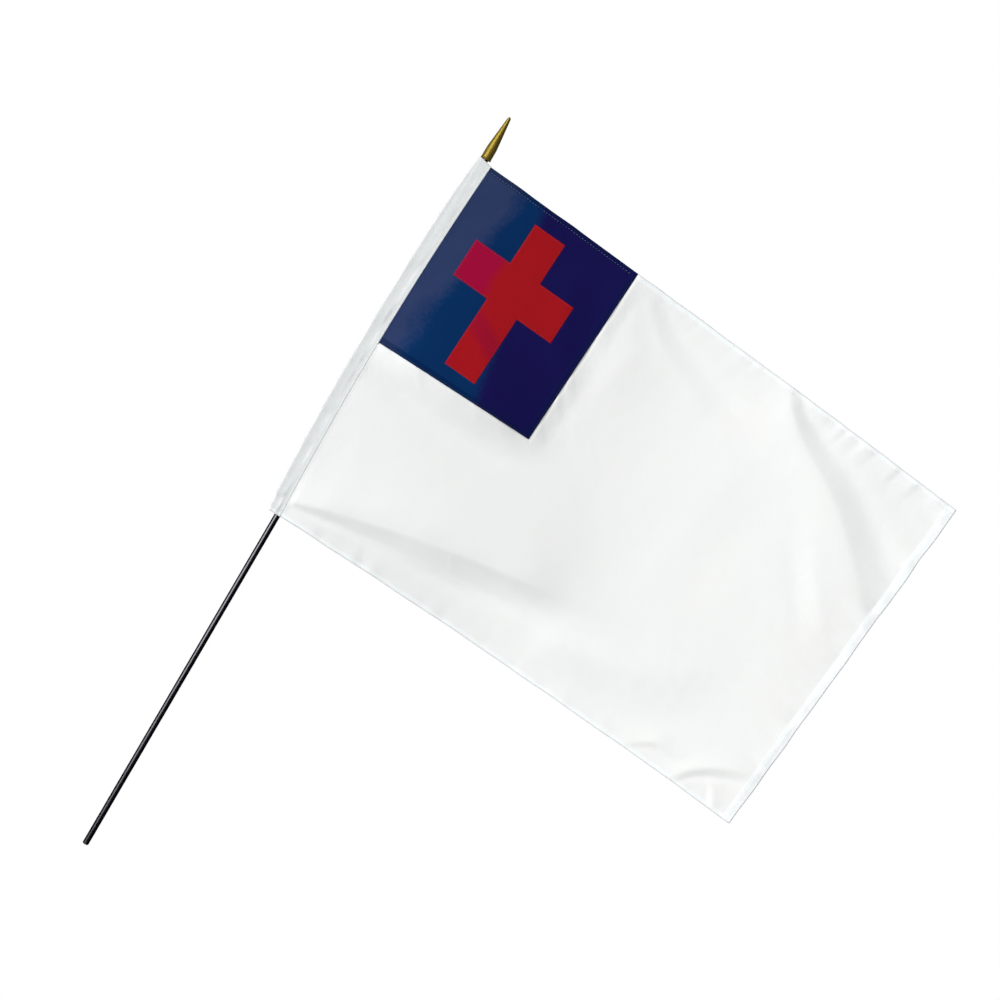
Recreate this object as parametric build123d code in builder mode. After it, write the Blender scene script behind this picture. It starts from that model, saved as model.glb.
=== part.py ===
from build123d import *
import math
import os

# A hand flag for church and ceremonial use: a black dowel staff, a gilt spear pressed on its tip,
# and a sewn cloth flag with a canton and cross, hung on the staff by a loose pole sleeve.
# Millimetres. +Z runs up the staff, +X out along the flag, and -Y faces the front of the flag.
# The origin is the centre of the staff's foot.

# ---- staff and spear ----
staff_d = 4.76  # 3/16 in dowel
staff_length = 609.6  # 24 in, with the tip inside the spear
staff_tip_d = 3.2
foot_bevel = 0.7
spear_base = 587.6  # the dowel's taper starts here, at the mouth of the spear's socket
spear_length = 36.4
spear_d = 7.8
barrel_height = 9.5  # from the base to the shoulder
shoulder_round = 6.0
spear_point_r = 1.2
point_round = 0.9
rim_bead = 0.3  # how far the bead round the base stands proud
rim_bead_height = 1.4
socket_end_room = 0.4

# ---- cloth and thread ----
cloth = 0.4  # one layer
thread_w = 0.45
thread_h = 0.2

# ---- flag outline, as x out from the staff's axis and z up the staff ----
hoist_low = 282.5
hoist_high = 585.0
top_edge = ((5.0, 584.6), (140.5, 572.0), (432.5, 539.4))
bottom_edge = ((4.0, 282.5), (210.0, 271.0), (404.4, 254.2))
canton_corner = (132.3, 424.7)  # where the canton's lower edge meets its fly edge
canton_hoist_z = 430.7
top_hem = 4.2
bottom_hem = 3.4
fly_hem = 8.0

# ---- cross, on the canton's own slanted axes ----
cross_centre = (67.4, 513.6)
cross_across = (1.0, -0.085)  # the way the cross bar runs as the cloth droops
cross_up = (0.048, 1.0)
upright_half = 13.6
bar_half = 15.8
bar_reach = 44.0
cross_top = 50.0
cross_foot = 73.0

# ---- billow of the cloth, seen from above as x and y ----
hoist_y = -3.85  # the flag leaves the staff in front of the dowel
billow = (
    (-1.0, hoist_y),
    (8.0, hoist_y - 0.1),
    (62.0, -2.4),
    (150.0, 2.4),
    (250.0, 3.6),
    (345.0, 1.8),
    (436.0, -1.2),
)
hoist_open = 1.0  # outlines run this far past the staff's axis before the hoist edge is cut
cloth_floor = 240.0
cloth_ceiling = 600.0
cut_reach = 40.0

# ---- pole sleeve ----
mouth_reach = 6.6  # from the axis to the folded edge at the lower mouth
mouth_taper = 2.4  # how much less that is at the upper mouth
sleeve_fullness = 6.5  # how much further the folded edge stands out at mid height
lap_low = 5.1  # from the axis to the lapped edge at the lower mouth
lap_pull = 5.75
lap_return = 6.85
round_room_r = 3.65  # outside radius of the cloth as it rounds the dowel
fold_r = 0.9
mouth_fold = 2.3  # how much rounder the folded edge is at the mouths
sleeve_lap = 2.4  # how far the sleeve laps over the flag's hoist edge
lap_root_depth = 0.3  # how far the lap's root is let into the sleeve's front
sleeve_sections = 10

# ---- seams, as distances in from the edge of the cloth ----
sleeve_row_in = 1.2
top_row_in = 3.4
bottom_row_in = 2.7
fly_rows_in = (1.6, 6.6)
canton_row_in = 1.2
cross_row_in = 1.0

# ---- depths, front to back, measured from the middle of one layer ----
web_front = -cloth / 2
web_back = cloth / 2
hem_back = web_back + cloth
lap_front = web_front - cloth

os.makedirs("parts", exist_ok=True)


def between(low, high, t):
    """A value part of the way from low to high."""
    return low + (high - low) * t


def shifted(points, right=0.0, down=0.0):
    """The same points moved straight across and down."""
    return [(x + right, z - down) for x, z in points]


def lap_x(t):
    """Where the sleeve's lapped edge ends, from the lower mouth (t = 0) to the upper (t = 1)."""
    return lap_low - lap_pull * t + lap_return * t**2


def hoist_points(inset):
    """Three points up the sleeve's lapped edge, moved in towards the staff."""
    return [(lap_x(t) - inset, between(hoist_low, hoist_high, t)) for t in (0.0, 0.5, 1.0)]


def sleeve_section(t, inset):
    """The sleeve's section at one height: a wide bend round the dowel, a tight one at the fold."""
    fullness = math.sin(math.pi * t)
    wide_r = round_room_r - inset
    tight_r = fold_r + mouth_fold * (1 - fullness) - inset
    reach = mouth_reach - mouth_taper * t + sleeve_fullness * math.sqrt(abs(fullness))
    tight_x = tight_r + inset - reach
    lean = (wide_r - tight_r) / tight_x
    rise = math.sqrt(1 - lean**2)
    with BuildSketch(Plane.XY.offset(between(hoist_low, hoist_high, t))) as section:
        with BuildLine():
            bend = ThreePointArc(
                (wide_r * lean, -wide_r * rise),
                (wide_r, 0),
                (wide_r * lean, wide_r * rise),
            )
            fold = ThreePointArc(
                (tight_x + tight_r * lean, tight_r * rise),
                (tight_x - tight_r, 0),
                (tight_x + tight_r * lean, -tight_r * rise),
            )
            Line(bend @ 1, fold @ 0)
            Line(fold @ 1, bend @ 0)
        make_face()
    return section.sketch


def sleeve_form(inset):
    """The sleeve as a solid form, its surface moved in by inset."""
    steps = [(1 - math.cos(math.pi * i / sleeve_sections)) / 2 for i in range(sleeve_sections + 1)]
    with BuildPart() as form:
        loft([sleeve_section(t, inset) for t in steps], ruled=True)
    return form.part


def flag_area(top_in=0.0, bottom_in=0.0, fly_in=0.0):
    """The whole cloth from the staff's axis to the fly, each edge moved in by a margin."""
    top = shifted(top_edge, down=top_in)
    bottom = shifted(bottom_edge, down=-bottom_in)
    with BuildSketch(Plane.XZ) as area:
        with BuildLine():
            upper = ThreePointArc(*top)
            lower = ThreePointArc(*bottom)
            fly = Line(upper @ 1, lower @ 1)
            Polyline(upper @ 0, (-hoist_open, top[0][1]), (-hoist_open, bottom[0][1]), lower @ 0)
        make_face()
        if fly_in:
            trace(fly, line_width=2 * fly_in, mode=Mode.SUBTRACT)
    return area.sketch


def hoist_strip(inset):
    """The strip from the staff's axis out to the sleeve's lapped edge."""
    points = hoist_points(inset)
    with BuildSketch(Plane.XZ) as strip:
        with BuildLine():
            edge = ThreePointArc(*points)
            Polyline(edge @ 0, (-hoist_open, points[0][1]), (-hoist_open, points[2][1]), edge @ 1)
        make_face()
    return strip.sketch


def canton_area():
    """The canton's corner of the flag, run out past the top edge."""
    with BuildSketch(Plane.XZ) as area:
        with BuildLine():
            Polyline(
                (-hoist_open, cloth_ceiling),
                (-hoist_open, canton_hoist_z),
                canton_corner,
                top_edge[1],
                (top_edge[1][0], cloth_ceiling),
                close=True,
            )
        make_face()
    return area.sketch


def cross_corners(margin=0.0):
    """The twelve corners of the Latin cross, its edges moved in by a margin."""
    arm = upright_half - margin
    bar = bar_half - margin
    reach = bar_reach - margin
    top = cross_top - margin
    foot = cross_foot - margin
    right = [(arm, top), (arm, bar), (reach, bar), (reach, -bar), (arm, -bar), (arm, -foot)]
    left = [(-across, up) for across, up in reversed(right)]
    return [
        (
            cross_centre[0] + across * cross_across[0] + up * cross_up[0],
            cross_centre[1] + across * cross_across[1] + up * cross_up[1],
        )
        for across, up in right + left
    ]


def cross_area():
    """The Latin cross as a filled outline."""
    with BuildSketch(Plane.XZ) as area:
        with BuildLine():
            Polyline(*cross_corners(), close=True)
        make_face()
    return area.sketch


def less(kept, *removed):
    """One outline with others cut out of it."""
    with BuildSketch(Plane.XZ) as area:
        add(kept)
        for outline in removed:
            add(outline, mode=Mode.SUBTRACT)
    return area.sketch


def common(first, second):
    """What two outlines share."""
    with BuildSketch(Plane.XZ) as area:
        add(first)
        add(second, mode=Mode.INTERSECT)
    return area.sketch


def cloth_between(front, back, outline):
    """Billowed cloth from one depth to another, cut to an outline seen from the front."""
    with BuildPart() as piece:
        with BuildSketch(Plane.XY.offset(cloth_floor)):
            with BuildLine():
                near = Spline(*[(x, y + front) for x, y in billow])
                far = Spline(*[(x, y + back) for x, y in billow])
                Line(near @ 0, far @ 0)
                Line(near @ 1, far @ 1)
            make_face()
        extrude(amount=cloth_ceiling - cloth_floor)
        extrude(outline, amount=cut_reach, both=True, mode=Mode.INTERSECT)
    return piece.part


def curved_row(points):
    """A row of stitching along an arc through three points, at the width of the thread."""
    with BuildSketch(Plane.XZ) as row:
        with BuildLine():
            ThreePointArc(*points)
        trace(line_width=thread_w)
    return row.sketch


def straight_row(points, close=False):
    """A row of stitching along straight seams, at the width of the thread."""
    with BuildSketch(Plane.XZ) as row:
        with BuildLine():
            Polyline(*points, close=close)
        trace(line_width=thread_w)
    return row.sketch


def sew(name, rows, front, back):
    """One node of thread: each row shows on the front of the cloth and again on its back."""
    runs = [cloth_between(front - thread_h, front, row) for row in rows]
    runs += [cloth_between(back, back + thread_h, row) for row in rows]
    with BuildPart() as seam:
        for run in runs:
            add(run)
    seam.part.label = name
    export_step(seam.part, f"parts/{name}.step")


# ---- staff: dowel with a bevelled foot and a tapered tip ----
staff_r = staff_d / 2
with BuildPart() as staff:
    with BuildSketch(Plane.XZ):
        with BuildLine():
            Polyline(
                (0, 0),
                (staff_r - foot_bevel, 0),
                (staff_r, foot_bevel),
                (staff_r, spear_base),
                (staff_tip_d / 2, staff_length),
                (0, staff_length),
                close=True,
            )
        make_face()
    revolve(axis=Axis.Z)
staff.part.label = "staff"
export_step(staff.part, "parts/staff.step")

# ---- spear: moulded barrel and blade with a tapered blind socket ----
spear_r = spear_d / 2
spear_top = spear_base + spear_length
shoulder = (spear_r, spear_base + barrel_height)
point_rim = (spear_point_r, spear_top - spear_point_r)
with BuildPart() as spear_finial:
    with BuildSketch(Plane.XZ) as spear_profile:
        with BuildLine():
            Polyline(
                (0, spear_base),
                (spear_r, spear_base),
                (spear_r + rim_bead, spear_base + rim_bead_height / 2),
                (spear_r, spear_base + rim_bead_height),
                shoulder,
                point_rim,
                (0, spear_top),
                close=True,
            )
        make_face()
        fillet(spear_profile.vertices().sort_by_distance(shoulder)[0], shoulder_round)
        fillet(spear_profile.vertices().sort_by_distance(point_rim)[0], point_round)
    revolve(axis=Axis.Z)
    with BuildSketch(Plane.XZ):
        with BuildLine():
            Polyline(
                (0, spear_base),
                (staff_r, spear_base),
                (staff_tip_d / 2, staff_length),
                (staff_tip_d / 2, staff_length + socket_end_room),
                (0, staff_length + socket_end_room),
                close=True,
            )
        make_face()
    revolve(axis=Axis.Z, mode=Mode.SUBTRACT)
spear_finial.part.label = "spear_finial"
export_step(spear_finial.part, "parts/spear_finial.step")

# ---- pole sleeve: a tunnel of cloth, open at both mouths, lapped and sewn over the hoist edge ----
lapped_strip = hoist_strip(0)
lap_root_strip = hoist_strip(sleeve_lap)
lap = cloth_between(lap_front, web_front, lapped_strip)
lap_root = cloth_between(web_front, web_back + lap_root_depth, lap_root_strip)
sleeve_outside = sleeve_form(0)
sleeve_inside = sleeve_form(cloth)
with BuildPart() as pole_sleeve:
    add(sleeve_outside)
    add(lap)
    add(lap_root)
    add(sleeve_inside, mode=Mode.SUBTRACT)
pole_sleeve.part.label = "pole_sleeve"
export_step(pole_sleeve.part, "parts/pole_sleeve.step")

# ---- field: the white cloth round the canton, its edges turned to the back and hemmed ----
flag_outline = less(flag_area(), lap_root_strip)
canton_corner_area = canton_area()
field_web = cloth_between(web_front, web_back, less(flag_outline, canton_corner_area))
inside_hems = flag_area(top_hem, bottom_hem, fly_hem)
hem_band = less(flag_area(), inside_hems, lapped_strip)
field_hems = cloth_between(web_back, hem_back, less(hem_band, canton_corner_area))
with BuildPart() as field_cloth:
    add(field_web)
    add(field_hems)
field_cloth.part.label = "field_cloth"
export_step(field_cloth.part, "parts/field_cloth.step")

# ---- canton: the blue panel set into the upper hoist corner, opened for the cross ----
canton_outline = common(flag_outline, canton_corner_area)
canton_web = cloth_between(web_front, web_back, less(canton_outline, cross_area()))
canton_hem = cloth_between(web_back, hem_back, common(hem_band, canton_corner_area))
with BuildPart() as canton_cloth:
    add(canton_web)
    add(canton_hem)
canton_cloth.part.label = "canton_cloth"
export_step(canton_cloth.part, "parts/canton_cloth.step")

# ---- cross: the red cloth that fills the canton's opening and shows on both faces ----
cross_web = cloth_between(web_front, web_back, cross_area())
with BuildPart() as cross_cloth:
    add(cross_web)
cross_cloth.part.label = "cross_cloth"
export_step(cross_cloth.part, "parts/cross_cloth.step")

# ---- sewing: every seam and hem has its own thread ----
sewn_area = less(flag_area(), lapped_strip)
up_to_fly_rows = less(flag_area(fly_in=fly_rows_in[1] + thread_w), lapped_strip)
web_area = less(inside_hems, lapped_strip)
fly_line = [top_edge[2], bottom_edge[2]]
canton_line = [
    (top_edge[1][0] - canton_row_in, top_edge[1][1]),
    (canton_corner[0] - canton_row_in, canton_corner[1] + canton_row_in),
    (0, canton_hoist_z + canton_row_in),
]
top_row = curved_row(shifted(top_edge, down=top_row_in))
bottom_row = curved_row(shifted(bottom_edge, down=-bottom_row_in))
fly_rows = [straight_row(shifted(fly_line, right=-distance)) for distance in fly_rows_in]
sleeve_row = curved_row(hoist_points(sleeve_row_in))
canton_row = straight_row(canton_line)
cross_row = straight_row(cross_corners(cross_row_in), close=True)

sew("sleeve_seam_thread", [sleeve_row], lap_front, web_back)
sew("top_hem_thread", [common(top_row, up_to_fly_rows)], web_front, hem_back)
sew("bottom_hem_thread", [common(bottom_row, up_to_fly_rows)], web_front, hem_back)
sew("fly_hem_thread", [common(row, sewn_area) for row in fly_rows], web_front, hem_back)
sew("canton_seam_thread", [common(canton_row, web_area)], web_front, web_back)
sew("cross_seam_thread", [cross_row], web_front, web_back)
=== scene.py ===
import math

import bpy
import numpy as np
from mathutils import Matrix, Vector
from mathutils.bvhtree import BVHTree


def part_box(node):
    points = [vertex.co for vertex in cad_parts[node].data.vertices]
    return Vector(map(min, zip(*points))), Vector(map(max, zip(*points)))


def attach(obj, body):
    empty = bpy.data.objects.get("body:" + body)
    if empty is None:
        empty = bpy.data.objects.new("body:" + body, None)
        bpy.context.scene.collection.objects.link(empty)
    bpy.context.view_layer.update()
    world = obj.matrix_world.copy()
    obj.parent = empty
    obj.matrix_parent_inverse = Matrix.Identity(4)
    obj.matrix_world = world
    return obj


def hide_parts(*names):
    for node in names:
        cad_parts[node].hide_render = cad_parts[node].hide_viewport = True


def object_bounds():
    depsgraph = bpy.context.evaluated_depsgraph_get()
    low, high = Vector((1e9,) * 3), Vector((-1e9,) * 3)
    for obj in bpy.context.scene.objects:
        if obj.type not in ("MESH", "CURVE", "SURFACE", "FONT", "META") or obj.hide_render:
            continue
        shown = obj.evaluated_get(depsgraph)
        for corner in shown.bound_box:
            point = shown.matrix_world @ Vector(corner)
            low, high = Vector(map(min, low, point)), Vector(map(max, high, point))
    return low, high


# A hand flag: cloth with a canton and cross, in a pole sleeve on a black dowel with a gilt spear.
# Metres. +Z runs up the staff, +X out along the flag, and -Y faces the front.
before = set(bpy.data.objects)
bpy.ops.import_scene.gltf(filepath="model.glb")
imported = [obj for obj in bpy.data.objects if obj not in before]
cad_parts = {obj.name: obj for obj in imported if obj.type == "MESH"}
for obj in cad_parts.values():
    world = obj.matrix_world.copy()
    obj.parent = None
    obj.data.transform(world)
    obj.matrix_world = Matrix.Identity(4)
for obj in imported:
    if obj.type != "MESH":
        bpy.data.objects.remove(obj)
cad_low, cad_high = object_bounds()
mm = 0.001

# ---- cloth and sewing ----
layer = 0.34 * mm  # one layer of cloth
edge_round = 0.75 * mm
flat_width, flat_length = 304.8 * mm, 457.2 * mm  # the stock flag, 12 x 18 in
top_hem, top_row_in = 4.2 * mm, 3.4 * mm
bottom_hem, bottom_row_in = 3.4 * mm, 2.7 * mm
fly_hem, fly_rows_in = 8.0 * mm, (1.6 * mm, 6.6 * mm)
hem_fullness = 0.40 * mm
seam_allowance = 4.0 * mm
allowance_depth = 0.62 * mm  # how far back the white allowance lies behind the canton
allowance_run = 1.6 * mm  # how far out from the seam it starts to lie back
canton_turn = 0.16 * mm  # how proud the canton's turned edge stands
turn_width, turn_step = 4.4 * mm, 0.5 * mm  # how wide that edge is, and the step behind it
cross_turn = 0.2 * mm  # how proud the cross stands
seam_fill, seam_fill_width = 0.26 * mm, 1.1 * mm  # the swell beside the sleeve's lap
canton_tuck = 1.2 * mm  # how far the canton goes in behind the cross
canton_row_in = 1.2 * mm
cross_row_in = 1.0 * mm
sleeve_row_in = 1.2 * mm
sleeve_lap = 2.4 * mm
stitch_pitch, stitch_length, stitch_width = 2.5 * mm, 1.9 * mm, 0.30 * mm
grid_pitch = 1.9 * mm
fine_steps = (0.12 * mm, 0.3 * mm, 0.55 * mm)  # extra grid lines beside every edge
hem_lines = (2.2 * mm, 3.1 * mm, 3.8 * mm, 4.4 * mm, 5.2 * mm)  # and over the top hem
field_at, canton_at = (0.10, 0.43), (0.07, 0.50)  # the x and z where each cloth is measured

# ---- folds. Each point is: share out from the hoist, share down from the top, then in mm how far
# the crest stands out, and how wide its left and right flanks are as the crest is followed ----
folds = {
    "from_lower_hoist": (
        (0.002, 0.958, 2.6, 10, 2),
        (0.03, 0.945, 3.0, 16, 2.6),
        (0.06, 0.932, 3.2, 26, 3.5),
        (0.12, 0.906, 4.7, 38, 5.5),
        (0.20, 0.872, 7.4, 52, 8),
        (0.28, 0.846, 9.4, 66, 10),
        (0.36, 0.820, 9.6, 76, 11),
        (0.44, 0.797, 7.8, 76, 12),
        (0.52, 0.772, 3.4, 60, 14),
        (0.60, 0.748, 1.0, 40, 16),
        (0.68, 0.730, 0.0, 30, 16),
    ),
    "below_it": (
        (0.04, 0.975, 0.4, 4, 8),
        (0.18, 0.932, 2.2, 8, 14),
        (0.32, 0.902, 3.4, 10, 17),
        (0.45, 0.892, 3.0, 10, 16),
        (0.56, 0.890, 1.6, 10, 15),
        (0.66, 0.893, 0.0, 10, 14),
    ),
    "to_upper_fly": (
        (0.643, 0.002, 0.7, 3, 12),
        (0.680, 0.065, 2.6, 6, 26),
        (0.735, 0.115, 3.1, 8, 26),
        (0.800, 0.160, 3.2, 10, 32),
        (0.870, 0.230, 3.2, 12, 34),
        (0.930, 0.305, 2.6, 13, 30),
        (0.985, 0.385, 1.3, 13, 24),
    ),
    "beside_upper_fly": (
        (0.800, 0.240, 0.0, 20, 9),
        (0.860, 0.340, 1.1, 20, 9),
        (0.910, 0.420, 1.1, 20, 9),
        (0.950, 0.485, 0.0, 20, 9),
    ),
    "low_middle": (
        (0.500, 0.910, 0.0, 25, 14),
        (0.560, 0.880, 1.3, 25, 14),
        (0.660, 0.845, 1.8, 26, 16),
        (0.740, 0.795, 1.6, 26, 18),
        (0.800, 0.720, 0.8, 25, 18),
        (0.860, 0.660, 0.0, 25, 18),
    ),
    "hollow_at_top": (
        (0.385, 0.030, -0.7, 6, 5),
        (0.430, 0.070, -1.0, 8, 7),
        (0.490, 0.100, -1.0, 9, 8),
        (0.560, 0.130, -0.8, 9, 9),
        (0.640, 0.170, -0.3, 9, 9),
        (0.700, 0.220, 0.0, 9, 9),
    ),
    "upright_middle": (
        (0.675, 0.160, 0.2, 16, 24),
        (0.655, 0.260, 0.5, 16, 24),
        (0.640, 0.380, 0.7, 18, 26),
        (0.630, 0.500, 0.6, 18, 26),
        (0.610, 0.620, 0.0, 18, 24),
    ),
    "beside_canton": (
        (0.360, 0.080, 0.0, 20, 12),
        (0.385, 0.200, 1.0, 20, 14),
        (0.375, 0.340, 0.0, 20, 14),
    ),
    "under_canton": (
        (0.000, 0.500, 1.2, 34, 12),
        (0.030, 0.499, 3.8, 38, 13),
        (0.080, 0.497, 6.8, 40, 14),
        (0.160, 0.494, 8.0, 44, 15),
        (0.240, 0.489, 7.4, 44, 15),
        (0.290, 0.484, 4.4, 36, 15),
        (0.340, 0.476, 1.0, 30, 15),
        (0.370, 0.470, 0.0, 26, 14),
    ),
    "fly_side_of_canton": (
        (0.306, 0.500, 0.0, 22, 8),
        (0.312, 0.420, 1.0, 24, 8),
        (0.316, 0.290, 0.8, 22, 8),
        (0.318, 0.230, 0.3, 20, 8),
        (0.318, 0.160, 0.8, 20, 6),
        (0.318, 0.080, 0.8, 18, 5),
        (0.320, 0.020, 0.0, 14, 5),
    ),
    "lower_fly_corner": (
        (0.862, 0.990, 0.4, 8, 2.5),
        (0.890, 0.940, 1.6, 10, 3),
        (0.935, 0.895, 1.6, 10, 3.5),
        (0.985, 0.860, 0.7, 8, 4),
    ),
    "beside_lower_corner": (
        (0.770, 0.975, 0.6, 7, 2),
        (0.800, 0.945, 1.4, 8, 2.5),
        (0.835, 0.940, 0.8, 6, 2.5),
        (0.870, 0.925, 0.0, 7, 3),
    ),
    "small_at_corner": (
        (0.925, 0.935, 0.2, 4, 2.5),
        (0.952, 0.980, 0.9, 4, 2.5),
    ),
    "across_canton": (
        (0.215, 0.080, 0.0, 12, 18),
        (0.245, 0.170, 1.2, 12, 18),
        (0.285, 0.280, 1.2, 12, 18),
        (0.310, 0.360, 0.2, 12, 18),
    ),
    "foot_of_cross": (
        (0.130, 0.300, 0.0, 12, 10),
        (0.165, 0.380, 1.0, 12, 10),
        (0.215, 0.440, 0.8, 12, 10),
        (0.240, 0.470, 0.0, 12, 10),
    ),
}
crest_softness = 0.3
trough_depth = 0.35  # each fold's steep side dips below the cloth by this share of its height
trough_at, trough_width = 1.9, 0.8  # where it dips, in flank widths from the crest
nearest_power, nearest_blur = 8, 0.7 * mm  # how sharply the nearest stretch of a crest decides
hoist_hold = (5.0 * mm, 30.0 * mm)  # the seam holds the cloth flat, and folds grow over these
# how far the seam is pulled round to the dowel's front, at heights given as shares of the sleeve
seam_pull = ((0.0, 2.6 * mm), (0.35, 3.6 * mm), (1.0, -0.6 * mm))


# ================= reading the frame =================
def points_of(node):
    """A CAD node's vertices, one row each."""
    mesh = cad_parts[node].data
    flat = np.empty(len(mesh.vertices) * 3, np.float32)
    mesh.vertices.foreach_get("co", flat)
    return flat.reshape(-1, 3).astype(float)


def corner(node, across, up):
    """The x and z of the vertex that lies furthest one way, seen from the front."""
    points = points_of(node)
    far = points[np.argmax(points[:, 0] * across + points[:, 2] * up)]
    return far[0], far[2]


def curve_through(along, across):
    """The quadratic that fits points, as three coefficients from the constant up."""
    return np.polyfit(along, across, 2)[::-1]


def side_of(node, out, up):
    """A straight side x(z) through the corners furthest out, one low and one high."""
    (low_x, low_z), (high_x, high_z) = corner(node, out, -up), corner(node, out, up)
    slope = (high_x - low_x) / (high_z - low_z)
    return np.array([low_x - slope * low_z, slope, 0.0])


def end_of(node, up, out):
    """A straight end z(x) through the corners furthest up, one left and one right."""
    (left_x, left_z), (right_x, right_z) = corner(node, -out, up), corner(node, out, up)
    slope = (right_z - left_z) / (right_x - left_x)
    return np.array([left_z - slope * left_x, slope, 0.0])


def moved(line, distance):
    """The same line, shifted along the axis that it gives."""
    return line + np.array([distance, 0.0, 0.0])


def value(line, at):
    """Where a line is, at one or many places."""
    return line[0] + line[1] * at + line[2] * at**2


def size_at(at, left, right, low, high):
    """The width and the height between four edge lines, measured at one place."""
    return value(right, at[1]) - value(left, at[1]), value(high, at[0]) - value(low, at[0])


def seam_line(node, axis, across):
    """The line that a row of thread follows."""
    points = points_of(node)
    return curve_through(points[:, axis], points[:, across])


top_line = moved(seam_line("top_hem_thread", 0, 2), top_row_in)
bottom_line = moved(seam_line("bottom_hem_thread", 0, 2), -bottom_row_in)
sleeve_low, sleeve_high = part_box("pole_sleeve")
sleeve_rise = sleeve_high.z - sleeve_low.z
pull_heights = [sleeve_low.z + sleeve_rise * share for share, _ in seam_pull]
pulled = curve_through(pull_heights, [-pull for _, pull in seam_pull])
lap_line = moved(seam_line("sleeve_seam_thread", 2, 0), sleeve_row_in) + pulled
hoist_line = moved(lap_line, -sleeve_lap)
fly_line = side_of("field_cloth", 1, 1)
canton_fly = side_of("canton_cloth", 1, 1)
canton_foot = end_of("canton_cloth", -1, 1)
slant = 0.3  # picks one of the two corners at an end of the cross
arm_left, arm_right = (side_of("cross_cloth", out, slant) for out in (-1, 1))
post_left, post_right = (side_of("cross_cloth", out, 1) for out in (-slant, slant))
bar_low, bar_high = (end_of("cross_cloth", up, 1) for up in (-slant, slant))
post_foot, post_head = (end_of("cross_cloth", up, slant) for up in (-1, 1))
field_size = size_at(field_at, hoist_line, fly_line, bottom_line, top_line)
canton_size = size_at(canton_at, hoist_line, canton_fly, canton_foot, top_line)
staff_low, staff_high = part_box("staff")
spear_low, spear_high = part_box("spear_finial")
staff_r = staff_high.x


def billow_curve():
    """The CAD cloth's depth as a smooth function of x, read from its front face."""
    corners, faces = [], []
    for node in ("field_cloth", "canton_cloth", "cross_cloth"):
        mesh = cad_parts[node].data
        start = len(corners)
        corners += [v.co.copy() for v in mesh.vertices]
        faces += [[start + i for i in p.vertices] for p in mesh.polygons]
    tree = BVHTree.FromPolygons(corners, faces)
    fly_x = value(fly_line, 0.53)  # where the slanting row of probes reaches the fly
    start_z, climb, half_cloth, degree = 0.50, 0.07, 0.2 * mm, 7
    probes = [(x, start_z + climb * x) for x in np.linspace(5 * mm, fly_x - 2 * mm, 80)]
    hits = [tree.ray_cast(Vector((x, -1, z)), Vector((0, 1, 0)))[0] for x, z in probes]
    seen = np.array([(h.x, h.y) for h in hits if h is not None])
    curve = np.poly1d(np.polyfit(seen[:, 0] / fly_x, seen[:, 1] + half_cloth, degree))
    return lambda x: curve(np.clip(x, 6 * mm, fly_x) / fly_x)


billow = billow_curve()


# ================= the shape of the cloth =================
def ease(share):
    """A smooth step from 0 to 1."""
    share = np.clip(share, 0, 1)
    return share * share * (3 - 2 * share)


def wander(at, pitch, seed):
    """A smooth random line from -1 to 1 that changes over about one pitch."""
    knots = np.random.default_rng(seed).uniform(-1, 1, 4096)
    place = at / pitch + 512
    cell = np.floor(place).astype(int)
    return knots[cell] + (knots[cell + 1] - knots[cell]) * ease(place - cell)


def near(distance, inward, outward=None):
    """1 on a line, fading over one reach inside it and another outside, given in mm."""
    reach = np.where(distance > 0, inward, outward or inward) * mm
    return np.exp(-np.abs(distance) / reach)


def drift(x, z, pitch, seed):
    """Soft random undulation over the cloth, from about -1 to 1."""
    total, ways = 0, 5
    for way in range(ways):
        turn = math.pi * (way + 0.35) / ways
        total = total + wander(x * math.cos(turn) + z * math.sin(turn), pitch, seed + way)
    return total / math.sqrt(ways)


def crossings(columns, rows):
    """Where every column line x(z) meets every row line z(x)."""
    c, r = np.array(columns)[:, None, :], np.array(rows)[None, :, :]
    start_z, passes = 0.4, 12
    z = np.full((len(columns), len(rows)), start_z)
    for _ in range(passes):
        x = c[..., 0] + c[..., 1] * z + c[..., 2] * z**2
        z = r[..., 0] + r[..., 1] * x + r[..., 2] * x**2
    return x, z


def on_flag(out, down):
    """The x and z at a share of the way out from the hoist and down from the top."""
    column = hoist_line * (1 - out) + fly_line * out
    row = top_line * (1 - down) + bottom_line * down
    x, z = crossings([column], [row])
    return x[0, 0], z[0, 0]


def smooth_path(points):
    """A path that passes through points without corners."""
    points, per_span = np.array(points, float), 7
    ends = [2 * points[0] - points[1], *points, 2 * points[-1] - points[-2]]
    path = []
    for a, b, c, d in zip(ends, ends[1:], ends[2:], ends[3:]):
        for t in np.arange(per_span) / per_span:
            path.append(
                0.5 * (2 * b + (c - a) * t + (2 * a - 5 * b + 4 * c - d) * t**2)
                + 0.5 * (3 * b - 3 * c + d - a) * t**3
            )
    return np.array([*path, points[-1]])


def fold_rise(x, z, path):
    """How far one fold lifts the cloth towards the front."""
    rise, weights = np.zeros(x.shape), np.zeros(x.shape)
    for start, end in zip(path, path[1:]):
        run = end[:2] - start[:2]
        share = ((x - start[0]) * run[0] + (z - start[1]) * run[1]) / (run @ run)
        share = np.clip(share, 0, 1)
        dx, dz = x - start[0] - share * run[0], z - start[1] - share * run[1]
        away = np.hypot(dx, dz) + 1e-9
        to_left = 0.5 + 0.5 * (run[0] * dz - run[1] * dx) / (away * np.hypot(*run))
        height, left, right = (start[k] + (end[k] - start[k]) * share for k in (2, 3, 4))
        reach = away / (right + (left - right) * to_left)
        steep = np.where(left < right, to_left, 1 - to_left)
        dip = trough_depth * steep * np.exp(-(((reach - trough_at) / trough_width) ** 2))
        crest = np.exp(crest_softness - np.hypot(reach, crest_softness)) - dip
        weight = (1 * mm / (away + nearest_blur)) ** nearest_power
        rise += weight * height * crest
        weights += weight
    return rise / weights


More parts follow.
